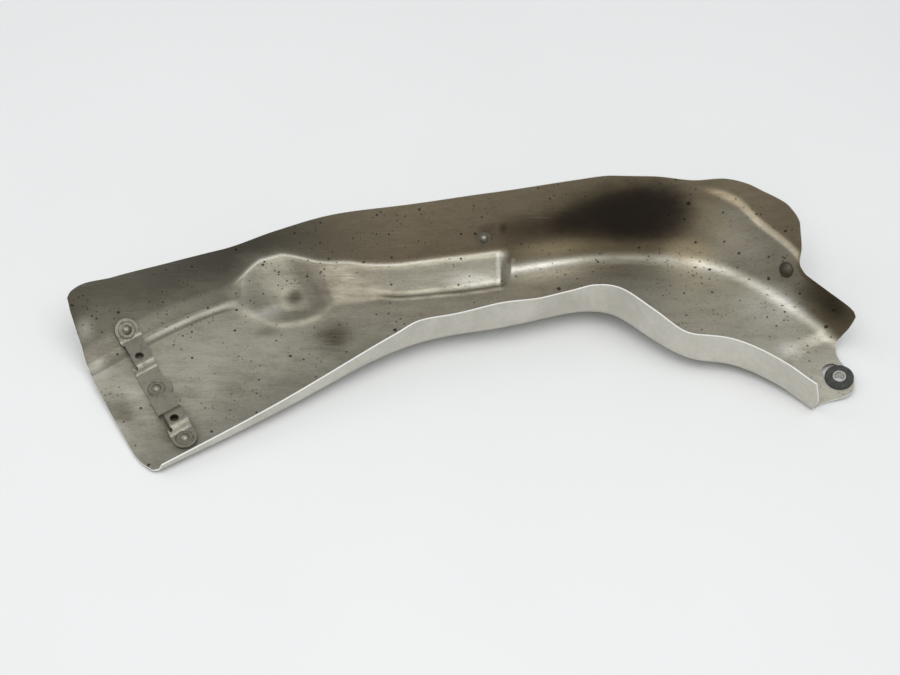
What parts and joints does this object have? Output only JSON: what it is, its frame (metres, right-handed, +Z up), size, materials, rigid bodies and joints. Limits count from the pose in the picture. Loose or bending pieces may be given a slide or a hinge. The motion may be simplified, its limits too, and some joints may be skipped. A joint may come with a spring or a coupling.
{
  "type": "heat shield",
  "caption": "Pressed sheet-metal heat shield for an engine bay: leaning wall, rounded valley, floor and low flange, with a riveted strap and a lug with a rubber grommet.",
  "frame": {"origin": "under the middle of the part's box, on the surface it lies on", "axes": "+X along the shield from the strap to the lug, +Y from the low flange to the tall wall, +Z up out of the hot face"},
  "size_m": [0.4926, 0.1947, 0.0586],
  "materials": {
    "sheet_steel": "heat-stained, satin",
    "strap_steel": "stained, satin",
    "rivet_steel": "satin",
    "dark_rivet": "sooty, satin",
    "rubber": "matt",
    "sleeve_steel": "satin"
  },
  "bodies": {
    "root": {"shield_panel": "sheet_steel", "fixing_strap": "strap_steel", "strap_rivets": "rivet_steel", "wall_rivet": "rivet_steel", "wall_rivet_washer": "rivet_steel", "end_rivet": "dark_rivet", "rubber_grommet": "rubber", "bush_sleeve": "sleeve_steel"}
  },
  "joints": []
}
